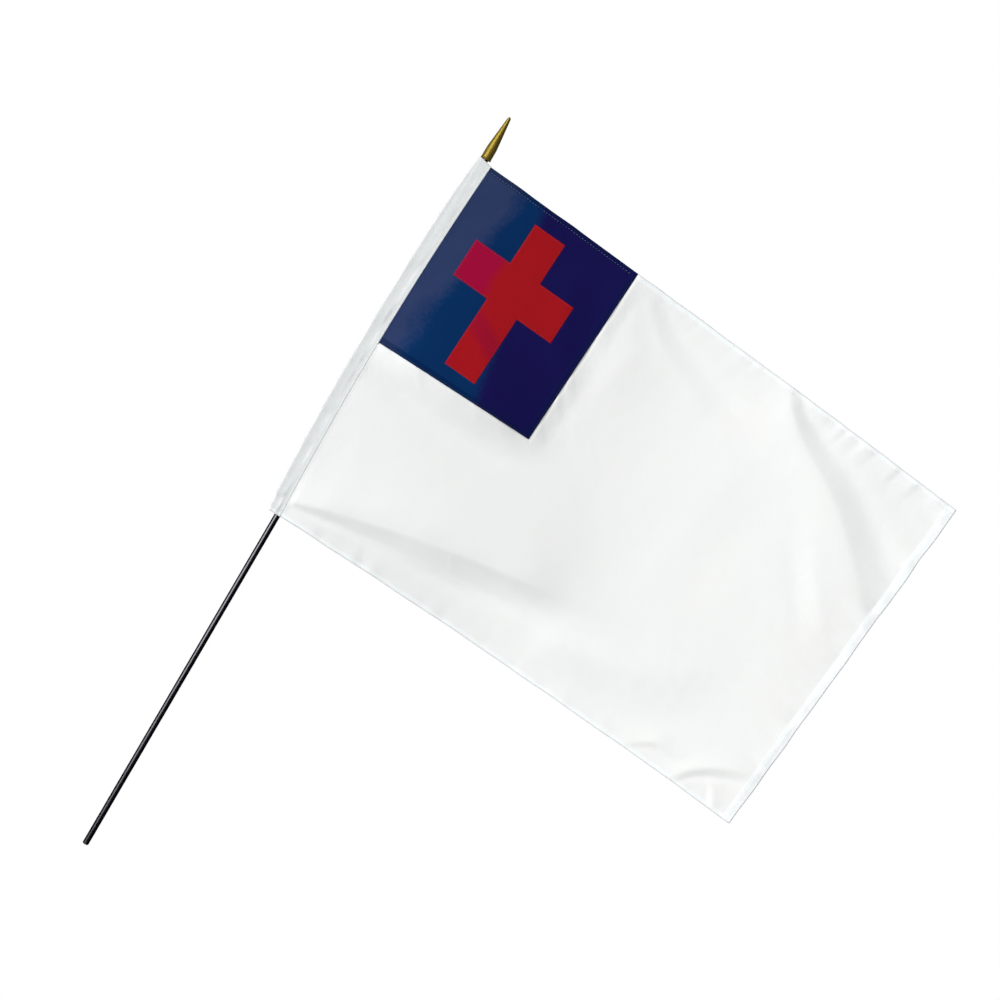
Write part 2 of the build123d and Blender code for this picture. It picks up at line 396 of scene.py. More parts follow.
def fold_paths():
    """Every fold's crest in metres, smoothed."""
    paths = []
    for points in folds.values():
        placed = [
            (*on_flag(out, down), rise * mm, max(left, 1) * mm, max(right, 1) * mm)
            for out, down, rise, left, right in points
        ]
        paths.append(smooth_path(placed))
    return paths


crest_paths = fold_paths()


def edge_gaps(x, z):
    """How far inside the flag's top, bottom and fly edges a place is."""
    return value(top_line, x) - z, z - value(bottom_line, x), value(fly_line, z) - x


def canton_gaps(x, z):
    """How far inside the canton's fly edge and its lower edge a place is."""
    return value(canton_fly, z) - x, z - value(canton_foot, x)


def in_canton(x, z):
    """How far inside the nearer of those two edges a place is, negative outside the canton."""
    return np.minimum(*canton_gaps(x, z))


def past_lap(x, z):
    """How far out from the edge of the sleeve's lap a place is."""
    return x - value(lap_line, z)


def clear_of_lap(x, z, start=0.0):
    """0 beneath the sleeve's lap, and 1 from a little way beside it."""
    return ease((past_lap(x, z) - start) / (2 * mm))


def puckers(x, z):
    """Short gathers that the hems and the canton's seam pull in the cloth beside them."""
    out = (x - value(hoist_line, z)) / flat_length
    to_top, to_bottom, to_fly = edge_gaps(x, z)
    below, above = to_top - top_row_in, to_bottom - bottom_row_in
    inside = to_fly - fly_rows_in[1]
    lean = x + 0.35 * below
    from_top = wander(lean, 4.5 * mm, 11) * 0.48 + wander(lean, 11 * mm, 12) * 0.4
    top = (0.2 + 0.8 * ease((out - 0.35) / 0.4)) * from_top * near(below, 9, 2.2)
    from_fly = wander(z - 0.3 * inside, 6 * mm, 13) * 0.6 + wander(z, 15 * mm, 14) * 0.6
    fly = from_fly * near(inside, 9, 4)
    bottom = wander(x, 9 * mm, 15) * 0.4 * near(above, 6)
    beside = np.hypot(*(np.maximum(-gap, 0) for gap in canton_gaps(x, z)))
    seam = wander(x + 0.8 * z, 7 * mm, 16) * 0.55 * near(beside, 6)
    seam = seam * (in_canton(x, z) < 0)
    return (top + fly + bottom + seam * ease(beside / (1 * mm))) * mm


def lift(x, z):
    """All folds, gathers and undulation together, towards the front."""
    total = puckers(x, z)
    for path in crest_paths:
        total = total + fold_rise(x, z, path)
    total = total + drift(x, z, 55 * mm, 40) * 0.7 * mm + drift(x, z, 18 * mm, 60) * 0.10 * mm
    flat_within, grown_within = hoist_hold
    grown = 0.5 + 0.5 * ease(past_lap(x, z) / grown_within)
    return total * grown * ease(past_lap(x, z) / flat_within)


def middle(x, z):
    """The depth of the cloth's middle."""
    return billow(x) - lift(x, z)


def settle(x, z):
    """The cloth's edges aren't ruled: they wave a little in their own plane."""
    to_top, to_bottom, to_fly = edge_gaps(x, z)
    dx = wander(z, 19 * mm, 21) * 0.45 * mm * near(to_fly, 12)
    dz = wander(x, 16 * mm, 22) * 0.25 * mm * near(to_top, 10)
    dz = dz + wander(x, 22 * mm, 23) * 0.3 * mm * near(to_bottom, 10)
    held = ease((x - value(hoist_line, z)) / (25 * mm))
    return x + dx * held, z + dz * held


def arch(distance, start, end):
    """A low arch between two distances from an edge, and nothing outside them."""
    share = np.clip((distance - start) / (end - start), 0, 1)
    return 1 - (2 * share - 1) ** 2


def hem_front(x, z):
    """How far the hems' three layers swell the front of the cloth between their stitching."""
    to_top, to_bottom, to_fly = edge_gaps(x, z)
    top = arch(to_top, 0, top_row_in) + 0.35 * arch(to_top, top_row_in, top_hem + 0.6 * mm)
    bottom = arch(to_bottom, 0, bottom_row_in)
    fly = arch(to_fly, *fly_rows_in) + 0.6 * arch(to_fly, 0, fly_rows_in[0])
    return hem_fullness * np.maximum(np.maximum(top, bottom), fly) * clear_of_lap(x, z)


def hem_back(x, z):
    """The turned layers of the hems, which end in a step behind the cloth."""
    step = 0.4 * mm
    hems = zip(edge_gaps(x, z), (top_hem, bottom_hem, fly_hem))
    turned = [ease((width - distance) / step + 0.5) for distance, width in hems]
    hidden = np.maximum(np.maximum(*turned[:2]), turned[2])
    return 1.6 * layer * hidden * clear_of_lap(x, z, 1 * mm)


def to_outline(x, z):
    """The distance to the flag's nearest outer edge."""
    to_top, to_bottom, to_fly = edge_gaps(x, z)
    across = np.minimum(x - value(hoist_line, z), to_fly)
    return np.minimum(across, np.minimum(to_top, to_bottom))


def to_box(x, z, left, right, low, high):
    """The distance outside a four-sided outline, negative within it."""
    across = np.maximum(value(left, z) - x, x - value(right, z))
    return np.maximum(across, np.maximum(value(low, x) - z, z - value(high, x)))


def to_cross(x, z):
    """The distance outside the cross's outline, negative within it."""
    post = to_box(x, z, post_left, post_right, post_foot, post_head)
    bar = to_box(x, z, arm_left, arm_right, bar_low, bar_high)
    return np.minimum(post, bar)


def seam_swell(x, z):
    """How far the layers under the sleeve's lap fill the cloth out beside it."""
    return seam_fill * np.exp(-((np.maximum(past_lap(x, z), 0) / seam_fill_width) ** 2))


def rounded(distance):
    """How full a layer is beside its edge: 0 at the edge, 1 past the rounding."""
    share = np.clip(distance / edge_round, 0, 1)
    return np.sqrt(1 - (1 - share) ** 2)


def closed(front, back, to_edge):
    """Both faces' depths, drawn together where the piece ends."""
    centre, half = (front + back) / 2, (back - front) / 2
    fullness = rounded(to_edge)
    return centre - half * fullness, centre + half * fullness


def field_faces(x, z):
    """The white cloth: it passes behind the canton's edge as its seam allowance."""
    depth = middle(x, z)
    inside = in_canton(x, z)
    behind = allowance_depth * ease(inside / allowance_run + 1.0)
    front = depth - layer / 2 - hem_front(x, z) - seam_swell(x, z) + behind
    back = depth + layer / 2 + hem_back(x, z) + behind
    return closed(front, back, np.minimum(to_outline(x, z), seam_allowance - inside))


def canton_faces(x, z):
    """The blue cloth: its turned edge stands a little proud along the seam."""
    depth = middle(x, z)
    inside = in_canton(x, z)
    turned = canton_turn * ease((turn_width - inside) / turn_step) * clear_of_lap(x, z)
    front = depth - layer / 2 - hem_front(x, z) - seam_swell(x, z) - turned
    back = depth + layer / 2 + hem_back(x, z)
    edge = np.minimum(np.minimum(to_outline(x, z), inside), to_cross(x, z) + canton_tuck)
    return closed(front, back, edge)


def cross_faces(x, z):
    """The red cloth: turned in at its edges, so it stands proud of the canton on both faces."""
    depth = middle(x, z)
    half = layer / 2 + cross_turn
    return closed(depth - half, depth + half, -to_cross(x, z))


# ================= meshes =================
def add_mesh(name, points, faces, coords=None, sharp=None):
    """A piece from points and faces, smooth, with flat coordinates in metres for its weave."""
    mesh = bpy.data.meshes.new(name)
    mesh.from_pydata([tuple(p) for p in points], [], [tuple(f) for f in faces])
    mesh.polygons.foreach_set("use_smooth", [True] * len(mesh.polygons))
    if coords is not None:
        corner_of = np.empty(len(mesh.loops), np.int32)
        mesh.loops.foreach_get("vertex_index", corner_of)
        mesh.uv_layers.new(name="Cloth").data.foreach_set("uv", coords[corner_of].ravel())
    if sharp is not None:
        mesh.set_sharp_from_angle(angle=math.radians(sharp))
    mesh.validate()
    piece = bpy.data.objects.new(name, mesh)
    bpy.context.scene.collection.objects.link(piece)
    return piece


def both_sides(front, back, i, j):
    """For each cell, a quad of front points and one of back points, facing apart."""
    ring = ((0, 0), (1, 0), (1, 1), (0, 1))
    outward = np.stack([front[i + a, j + b] for a, b in ring], 1)
    inward = np.stack([back[i + a, j + b] for a, b in ring[::-1]], 1)
    return np.concatenate([outward, inward])


def tube_faces(rings, sides):
    """The faces of a closed tube whose points run ring by ring."""
    faces = []
    for k in range(rings - 1):
        for q in range(sides):
            a, b = k * sides + q, k * sides + (q + 1) % sides
            faces.append((a, b, b + sides, a + sides))
    last = rings * sides
    return [*faces, tuple(range(sides))[::-1], tuple(range(last - sides, last))]


def lines_between(lines, lengths, extras):
    """Grid lines through a few main lines: closely spaced beside each, evenly between them."""
    made, places, done = [], [], 0.0
    for k, (first, last, length, extra) in enumerate(zip(lines, lines[1:], lengths, extras)):
        head = [0.0, *fine_steps, *extra[0]]
        tail = sorted(length - s for s in (*fine_steps, *extra[1]))
        start, end = max(head), min(tail)
        count = max(2, round((end - start) / grid_pitch))
        even = start + (end - start) * np.arange(1, count) / count
        for at in [*sorted(head), *even, *tail]:
            made.append(first + (last - first) * at / length)
            places.append(done + at)
        done += length
    return [*made, lines[-1]], np.array([*places, done])


def cloth_piece(name, grid, keep, faces_at):
    """A closed sheet over the kept cells of a grid, its two faces joined along every edge."""
    (across, width), (up, height) = grid
    x, z = crossings(across, up)
    kept = keep((x[1:, 1:] + x[:-1, :-1]) / 2, (z[1:, 1:] + z[:-1, :-1]) / 2)
    padded = np.pad(kept, 1)
    around = np.stack([padded[1:, 1:], padded[1:, :-1], padded[:-1, 1:], padded[:-1, :-1]])
    used, inner = around.any(0), around.all(0)
    front_y, back_y = faces_at(x, z)
    edge_y = (front_y + back_y) / 2
    placed_x, placed_z = settle(x, z)
    front = np.full(x.shape, -1)
    front[used] = np.arange(used.sum())
    back = front.copy()
    back[inner] = used.sum() + np.arange(inner.sum())
    first = np.where(inner, front_y, edge_y)
    points = np.concatenate([
        np.stack([placed_x[used], first[used], placed_z[used]], 1),
        np.stack([placed_x[inner], back_y[inner], placed_z[inner]], 1),
    ])
    flat = np.stack(np.broadcast_arrays(width[:, None], height[None, :]), 2)
    coords = np.concatenate([flat[used], flat[inner]])
    return add_mesh(name, points, both_sides(front, back, *np.nonzero(kept)), coords)


def grid_through(across, up, at, column_extras, row_extras):
    """A grid's columns and rows through a few main lines, spaced as they are at one place."""
    widths = [value(b, at[1]) - value(a, at[1]) for a, b in zip(across, across[1:])]
    heights = [value(b, at[0]) - value(a, at[0]) for a, b in zip(up, up[1:])]
    return lines_between(across, widths, column_extras), lines_between(up, heights, row_extras)


def make_field():
    """The white cloth, with more grid lines where its hems and seams need them."""
    fly_lines = (1.2 * mm, 2.0 * mm, 4.1 * mm, 6.2 * mm, 7.0 * mm, 7.8 * mm, 8.4 * mm)
    low_lines = (1.6 * mm, 2.4 * mm, 3.0 * mm, 3.8 * mm)
    seam_lines = (1.0 * mm, 1.8 * mm)
    under = (1.5 * mm, *(seam_allowance - step for step in (0.0, *fine_steps)))
    grid = grid_through(
        [hoist_line, canton_fly, fly_line],
        [bottom_line, canton_foot, top_line],
        field_at,
        [((), under), (seam_lines, fly_lines)],
        [(low_lines, seam_lines), (under, hem_lines)],
    )
    return cloth_piece("white_field", grid, lambda x, z: in_canton(x, z) < seam_allowance, field_faces)


def make_canton():
    """The blue cloth, its grid along its edges and the opening for the cross."""
    turn, plain = (1.2 * mm, 4.0 * mm, 4.6 * mm), ((), ())
    across = [moved(line, canton_tuck) for line in (arm_left, post_left)]
    across += [moved(line, -canton_tuck) for line in (post_right, arm_right)]
    up = [moved(line, canton_tuck) for line in (post_foot, bar_low)]
    up += [moved(line, -canton_tuck) for line in (bar_high, post_head)]
    grid = grid_through(
        [hoist_line, *across, canton_fly],
        [canton_foot, *up, top_line],
        canton_at,
        [plain] * 4 + [((), turn)],
        [(turn, ())] + [plain] * 3 + [((), hem_lines)],
    )
    return cloth_piece("blue_canton", grid, lambda x, z: to_cross(x, z) > -canton_tuck, canton_faces)


def make_cross():
    """The red cloth, its grid along its own edges."""
    across = [arm_left, post_left, post_right, arm_right]
    up = [post_foot, bar_low, bar_high, post_head]
    grid = grid_through(across, up, canton_at, [((), ())] * 3, [((), ())] * 3)
    return cloth_piece("red_cross", grid, lambda x, z: to_cross(x, z) < 0, cross_faces)


# ---- pole sleeve: one strip, from the lapped edge round the fold and the dowel to its back lap ----
mouth_reach = (6.6 * mm, 4.2 * mm)  # from the axis to the folded edge, at the lower and upper mouth
round_room = 3.45 * mm  # from the axis to the middle of the cloth behind the dowel
fold_r = (0.8 * mm, 0.55 * mm)  # how round the folded edge is, at the mouths and between them
fold_forward = 3.2 * mm  # the empty part of the sleeve lies flat, its fold this far before the axis
sleeve_slant = 0.30  # how steeply the upper mouth rises towards the fold
strip_width = 43 * mm
fold_start, tail_turn = 0.12, 0.33 * math.pi  # how far round the fold begins and the dowel's wrap ends


def sleeve_path(t):
    """The sleeve's section at a share of its height, as x and y from the lapped edge round."""
    z = sleeve_low.z + sleeve_rise * t
    fullness = math.sqrt(max(math.sin(math.pi * t), 0.0))
    ends = mouth_reach[0] + (mouth_reach[1] - mouth_reach[0]) * t
    reach = ends + (-sleeve_low.x - sum(mouth_reach) / 2) * fullness
    radius = fold_r[0] + (fold_r[1] - fold_r[0]) * fullness
    fold_x = radius - reach
    lap_x = value(lap_line, z)
    web = float(billow(lap_x))
    front = web - layer * 1.08
    fold_y = -fold_forward * (0.95 + 0.05 * fullness)
    lean = math.asin(min(0.9, (round_room - radius) / math.hypot(fold_x, fold_y)))
    lean += math.atan2(-fold_y, -fold_x)
    fold = [
        (fold_x + radius * math.cos(a), fold_y + radius * math.sin(a))
        for a in np.linspace(-math.pi / 2 - fold_start, -3 * math.pi / 2 + lean, 9)
    ]
    wrap = [
        (round_room * math.cos(a), round_room * math.sin(a))
        for a in np.linspace(math.pi / 2 + lean, -tail_turn, 15)
    ]
    behind = web + layer * 1.2
    over_x = min(lap_x - sleeve_lap, -2.6 * mm) - 0.4 * mm
    lap = [(lap_x, front), (lap_x - 1.2 * mm, front), (lap_x - sleeve_lap, front)]
    halfway = ((over_x + fold[0][0]) / 2, (front + 0.5 * mm + fold[0][1]) / 2)
    over = [(over_x, front + 0.2 * mm), halfway]
    end_x = lap_x - 1.3 * mm
    tail = [((wrap[-1][0] + end_x) / 2, (wrap[-1][1] + behind) / 2 - 0.05 * mm), (end_x, behind)]
    return np.array([*lap, *over, *fold, *wrap, *tail])


def run_along(path):
    """How far along a path each of its points is."""
    return np.concatenate([[0], np.cumsum(np.hypot(*np.diff(path, axis=0).T))])


def evenly(path, count):
    """A path's points respaced evenly along it."""
    at = run_along(path)
    wanted = np.linspace(0, at[-1], count)
    return np.stack([np.interp(wanted, at, path[:, k]) for k in range(path.shape[1])], 1)


def softened(path):
    """A path with its corners eased, its ends held."""
    path[1:-1] = path[1:-1] * 0.5 + (path[:-2] + path[2:]) * 0.25
    return path


def sleeve_wrinkles(t, s):
    """Bands and creases across the sleeve: t runs up it, s from the front lap round to the back."""
    height = t * sleeve_rise
    # slack from beside the lap to where the strip rounds the dowel
    loose_from, loose_to, fold_from = 0.075, 0.62, 0.10
    loose = ease((s - loose_from) / 0.08) * ease((loose_to - s) / 0.12)
    slanting = height + 12 * mm * s
    bands = wander(slanting, 17 * mm, 81) * 0.60 + wander(slanting, 7 * mm, 82) * 0.24
    bands = bands + wander(height - 14 * mm * s, 12 * mm, 83) * 0.20
    at_fold = ease((s - fold_from) / 0.10)
    crease_at, puff_at = 15.4 * mm, 9 * mm
    crease = -0.7 * at_fold * np.exp(-(((height - crease_at) / (1.3 * mm)) ** 2))
    puff = 0.8 * at_fold * np.exp(-(((height - puff_at) / (4.0 * mm)) ** 2))
    return (bands + crease + puff) * loose * mm


def make_sleeve():
    """The white strip wrapped into a tunnel, hemmed at both mouths."""
    stations, low_band = 76, 0.03
    ends = [0, 0.1, 0.28, 0.5, 0.9, 1.4, 2.0, 2.5, 2.9, 3.4]  # heights in mm, close at the mouths
    tall = sleeve_rise / mm
    heights = [*ends, *np.linspace(4.6, tall - 4.6, 158), *[tall - e for e in reversed(ends)]]
    rings = [softened(evenly(sleeve_path(h / tall), stations)) for h in heights]
    path = np.array(rings)
    s = np.linspace(0, 1, stations)[None, :]
    t = (np.array(heights) / tall)[:, None]
    along = np.gradient(path, axis=1)
    normal = np.stack([-along[..., 1], along[..., 0]], 2)
    normal /= np.linalg.norm(normal, axis=2, keepdims=True)
    from_mouth = np.minimum(t, 1 - t) * tall * mm
    from_side = np.minimum(s, 1 - s) * strip_width
    fullness = rounded(np.minimum(from_mouth, from_side))
    hem = arch(from_mouth, 0, 2.9 * mm)
    band = arch(s * strip_width, 0, sleeve_row_in)
    thick = layer / 2 + 0.22 * mm * hem + 0.12 * mm * band
    push = sleeve_wrinkles(t, s)
    # the path runs clockwise seen from above, so its left-hand normal points into the tunnel
    outer = path - normal * (push + thick * fullness)[..., None]
    inner = path - normal * (push - thick * fullness)[..., None]
    rise = ease((t - 0.97) / 0.03)
    level_z = sleeve_low.z + np.array(heights)[:, None] * mm + 0 * s
    level_z = level_z + rise * np.clip(1.7 * mm - path[..., 0] * sleeve_slant, 0, 2.6 * mm) * 0.9
    level_z = level_z + wander(path[..., 0] + 0.02, 5 * mm, 84) * 0.25 * mm * ease((low_band - t) / low_band)
    n, m = level_z.shape
    edge = (from_mouth <= 0) | (from_side <= 0)
    number = np.arange(n * m).reshape(n, m)
    inside = number.copy()
    inside[~edge] = n * m + np.arange((~edge).sum())
    points = np.concatenate([
        np.dstack([outer, level_z]).reshape(-1, 3),
        np.dstack([inner, level_z])[~edge],
    ])
    flat = np.stack(np.broadcast_arrays(s * strip_width, t * tall * mm), 2)
    coords = np.concatenate([flat.reshape(-1, 2), flat[~edge]])
    cells = np.nonzero(np.ones((n - 1, m - 1), bool))
    return add_mesh("pole_sleeve_cloth", points, both_sides(number, inside, *cells), coords)


# ---- stitches ----
stitch_profile = ((-0.5, -0.85), (-0.36, 0.0), (0.0, 0.25), (0.36, 0.0), (0.5, -0.85))


def stitch(place, along, outward, seed):
    """One stitch: a short thread that dips into the cloth at both ends."""
    side = along.cross(outward).normalized()
    wobble = np.random.default_rng(seed).uniform(-1, 1, 3)
    points, sides = [], 6
    for k, (share, height) in enumerate(stitch_profile):
        centre = place + along * share * stitch_length * (1 + 0.06 * wobble[0])
        centre = centre + outward * height * stitch_width + side * wobble[1] * share * 0.12 * mm
        half = stitch_width / 2 * (0.8 if k in (0, 4) else 1.0)
        for turn in np.arange(sides) * 2 * math.pi / sides:
            points.append(centre + side * half * math.cos(turn) + outward * half * 0.8 * math.sin(turn))
    return points, tube_faces(len(stitch_profile), sides)


def sew(name, rows, faces_at):
    """A node of thread: each row is a list of x and z places, stitched on both faces."""
    points, faces, count = [], [], 0
    for row in rows:
        at = run_along(row)
        middles = np.arange(stitch_pitch * 0.6, at[-1] - stitch_pitch * 0.4, stitch_pitch)
        x, z = (np.interp(middles, at, row[:, k]) for k in (0, 1))
        dx, dz = (np.interp(middles + 0.5 * mm, at, row[:, k]) for k in (0, 1))
        for side in (0, 1):
            y, ahead = faces_at(x, z)[side], faces_at(dx, dz)[side]
            px, pz = settle(x, z)
            outward = Vector((0, -1 if side == 0 else 1, 0))
            for k in range(len(x)):
                run = Vector((dx[k] - x[k], ahead[k] - y[k], dz[k] - z[k])).normalized()
                up = (outward - run * outward.dot(run)).normalized()
                new, quads = stitch(Vector((px[k], y[k], pz[k])), run, up, count)
                faces += [tuple(len(points) + i for i in quad) for quad in quads]
                points += new
                count += 1
    return add_mesh(name, points, faces)


def level_row(line, left, right):
    """Places along a row line z(x), between two column lines."""
    ends = [crossings([end], [line]) for end in (left, right)]
    x = np.linspace(ends[0][0][0, 0], ends[1][0][0, 0], 300)
    return np.stack([x, value(line, x)], 1)


def upright_row(line, low, high):
    """Places along a column line x(z), between two row lines."""
    ends = [crossings([line], [end]) for end in (low, high)]
    z = np.linspace(ends[0][1][0, 0], ends[1][1][0, 0], 300)
    return np.stack([value(line, z), z], 1)


def sleeve_faces(x, z):
    """Where the sleeve's lap shows in front, and its back lap behind."""
    web = billow(x)
    return web - layer * 1.58 - 0.05 * mm, web + layer * 1.7


def whole_faces(x, z):
    """The flag's faces, hems included, whichever cloth a row of thread crosses."""
    depth = middle(x, z)
    return depth - layer / 2 - hem_front(x, z), depth + layer / 2 + hem_back(x, z)


def canton_seam_faces(x, z):
    """The faces along the canton's seam: blue in front, the white allowance behind."""
    depth = middle(x, z)
    return depth - layer / 2 - canton_turn, depth + layer / 2 + allowance_depth


def cross_rows():
    """The rows of thread just inside the cross's edges."""
    left, post_l, foot, low = (
        moved(line, cross_row_in) for line in (arm_left, post_left, post_foot, bar_low)
    )
    right, post_r, head, high = (
        moved(line, -cross_row_in) for line in (arm_right, post_right, post_head, bar_high)
    )
    levels = [(foot, post_l, post_r), (head, post_l, post_r)]
    levels += [(bar, *ends) for bar in (low, high) for ends in ((left, post_l), (post_r, right))]
    uprights = [(left, low, high), (right, low, high)]
    uprights += [(post, *ends) for ends in ((foot, low), (high, head)) for post in (post_l, post_r)]
    return [level_row(*row) for row in levels] + [upright_row(*row) for row in uprights]


def make_threads():
    """The six nodes of thread, in the order of the CAD's."""
    lap_front = moved(lap_line, 1.6 * mm)
    fly_in = moved(fly_line, -fly_rows_in[1] - 1 * mm)
    top_row, bottom_row = moved(top_line, -top_row_in), moved(bottom_line, bottom_row_in)
    fly_rows = [
        upright_row(moved(fly_line, -d), moved(bottom_line, 1 * mm), moved(top_line, -1 * mm))
        for d in fly_rows_in
    ]
    seam_up, seam_level = moved(canton_fly, -canton_row_in), moved(canton_foot, canton_row_in)
    canton_rows = [
        upright_row(seam_up, seam_level, moved(top_row, -1 * mm)),
        level_row(seam_level, lap_front, seam_up),
    ]
    sleeve_row = upright_row(
        moved(lap_line, -sleeve_row_in), moved(bottom_line, 0.8 * mm), moved(top_line, -0.4 * mm)
    )
    sewing = {
        "sleeve_seam_thread": ("sleeve_stitching", [sleeve_row], sleeve_faces),
        "top_hem_thread": ("top_hem_stitching", [level_row(top_row, lap_front, fly_in)], whole_faces),
        "bottom_hem_thread": (
            "bottom_hem_stitching", [level_row(bottom_row, lap_front, fly_in)], whole_faces
        ),
        "fly_hem_thread": ("fly_hem_stitching", fly_rows, whole_faces),
        "canton_seam_thread": ("canton_stitching", canton_rows, canton_seam_faces),
        "cross_seam_thread": ("cross_stitching", cross_rows(), cross_faces),
    }
    return {node: sew(*row) for node, row in sewing.items()}


# ================= materials =================
far = 1.0  # a band that runs on past the cloth's edge
# how wide the painted shade along each folded edge is
edge_shade_width = 0.5 * mm


def feed(tree, node, inputs):
    """Gives sockets their values, or joins them to the sockets that feed them."""
    for key, given in inputs.items():
        if isinstance(given, bpy.types.NodeSocket):
            tree.links.new(given, node.inputs[key])
        else:
            node.inputs[key].default_value = given


def new_material(name):
    """A material with its node tree, its Principled shader, and where on the piece it shades."""
    material = bpy.data.materials.new(name)
    material.use_nodes = True
    tree = material.node_tree
    where = add_node(tree, "ShaderNodeTexCoord").outputs["Object"]
    return material, tree, tree.nodes["Principled BSDF"], where


def add_node(tree, kind, inputs=None, **settings):
    """A node with its settings and its inputs."""
    node = tree.nodes.new(kind)
    for key, setting in settings.items():
        setattr(node, key, setting)
    feed(tree, node, inputs or {})
    return node


def math_node(tree, operation, *given):
    """A Math node's result."""
    return add_node(tree, "ShaderNodeMath", dict(enumerate(given)), operation=operation).outputs[0]


def scaled(tree, given, by, plus=0.0):
    """One value times another, plus a third."""
    return math_node(tree, "MULTIPLY_ADD", given, by, plus)


def less(tree, given, taken):
    """One value less another."""
    return math_node(tree, "SUBTRACT", given, taken)


def along_axis(tree, vector, axis):
    """One of a vector's components."""
    return add_node(tree, "ShaderNodeSeparateXYZ", {"Vector": vector}).outputs[axis]


def noise(tree, where, scale, detail=2.0, rough=0.5):
    """Noise from 0 to 1, with scale in cells per metre."""
    given = {"Vector": where, "Scale": scale, "Detail": detail, "Roughness": rough}
    return add_node(tree, "ShaderNodeTexNoise", given).outputs["Fac"]


def crossfade(tree, along, middle_at, width):
    """0 before a place and 1 after it, across a soft width."""
    given = {"Value": along, 1: middle_at - width / 2, 2: middle_at + width / 2}
    return add_node(tree, "ShaderNodeMapRange", given).outputs[0]


def ramp(tree, fac, stops):
    """A colour ramp's colour."""
    node = add_node(tree, "ShaderNodeValToRGB", {"Fac": fac})
    elements = node.color_ramp.elements
    while len(elements) < len(stops):
        elements.new(0.5)
    for element, (place, colour) in zip(elements, stops):
        element.position = place
        element.color = (*colour, 1.0)
    return node.outputs["Color"]


def mixed(tree, fac, *colours):
    """Two colours mixed."""
    first, second = ((*c, 1.0) if isinstance(c, tuple) else c for c in colours)
    given = {0: fac, 6: first, 7: second}
    return add_node(tree, "ShaderNodeMix", given, data_type="RGBA").outputs[2]


def bump(tree, height, distance, under=None):
    """A Bump node's normal, over another if there is one."""
    given = {"Height": height, "Distance": distance, "Strength": 1.0}
    if under is not None:
        given["Normal"] = under
    return add_node(tree, "ShaderNodeBump", given).outputs["Normal"]


def weave(tree, flat):
    """Plain weave: threads that pass over and under each other, from 0 to 1."""
    thread_pitch = 0.42 * mm
    waves = [
        math_node(tree, "SINE", scaled(tree, along_axis(tree, flat, k), math.pi / thread_pitch))
        for k in (0, 1)
    ]
    return scaled(tree, scaled(tree, *waves), 0.5, 0.5)


def cloth_material(name, colour_of, gloss=0.12):
    """Woven cloth: its colour, its threads, small slubs and soft creases."""
    material, tree, shader, where = new_material(name)
    flat = add_node(tree, "ShaderNodeUVMap", uv_map="Cloth").outputs["UV"]
    threads = weave(tree, flat)
    slubs = noise(tree, flat, 900, 3.0, 0.6)
    creases = noise(tree, where, 95, 4.0, 0.55)
    creased = bump(tree, creases, 0.30 * mm)
    slubbed = bump(tree, slubs, 0.03 * mm, creased)
    feed(tree, shader, {
        "Base Color": colour_of(tree, where, flat, threads),
        "Specular IOR Level": gloss,
        "Roughness": scaled(tree, slubs, 0.12, 0.79),
        "Normal": bump(tree, threads, 0.035 * mm, slubbed),
    })
    return material


def edge_bands(tree, flat, bands):
    """1 within any of a cloth's edge bands, else 0. Each is a flat axis, a start and an end."""
    total, blur = 0.0, 0.6 * mm
    for axis, start, end in bands:
        at = along_axis(tree, flat, axis)
        before = less(tree, 1.0, crossfade(tree, at, end, blur))
        band = scaled(tree, crossfade(tree, at, start, blur), before)
        total = math_node(tree, "MAXIMUM", total, band)
    return total


def edges_of(size, foot, head, fly):
    """Bands along a cloth's lower, upper and fly edges, given how far in each one reaches."""
    span, rise = size
    return (1, -far, foot), (1, rise - head, far), (0, span - fly, far)


def white_of(cool, warm, thread_shade, doubled, bands, creases, hoist_shade=0.0):
    """White cloth whose tint shifts a little: whiter where it is folded double, a painted shade of grey
    along the very crease of each folded edge, and a painted shade that darkens it towards the staff."""
    # painted shade: a grey for the folded edges, and a dark blue-grey that darkens the cloth towards the
    # staff
    edge_shade_grey, hoist_shade_colour = (0.60, 0.61, 0.62), (0.0, 0.02, 0.04)

    def colour(tree, where, flat, threads):
        tint = mixed(tree, noise(tree, where, 14, 2.0), cool, warm)
        tint = mixed(tree, edge_bands(tree, flat, bands), tint, doubled)
        # painted shade along the folded edges
        tint = mixed(tree, edge_bands(tree, flat, creases), tint, edge_shade_grey)
        tint = mixed(tree, scaled(tree, threads, 0.10), tint, thread_shade)
        # painted shade: the cloth darkens towards the staff, fading out between x of 100 and 220 mm
        past_shade = crossfade(tree, along_axis(tree, where, 0), 160 * mm, 120 * mm)
        return mixed(tree, scaled(tree, past_shade, -hoist_shade, hoist_shade), tint, hoist_shade_colour)

    return colour


def place_along(tree, where, slope, wobble):
    """x leaning with z, broken up by noise, in metres: what the painted sheen and the dye shift along."""
    leaning = scaled(tree, along_axis(tree, where, 2), slope, along_axis(tree, where, 0))
    speckle = less(tree, noise(tree, where, 330, 6.0, 0.75), 0.5)
    clouds = less(tree, noise(tree, where, 26, 2.0), 0.5)
    return scaled(tree, clouds, wobble * 1.2, scaled(tree, speckle, wobble, leaning))


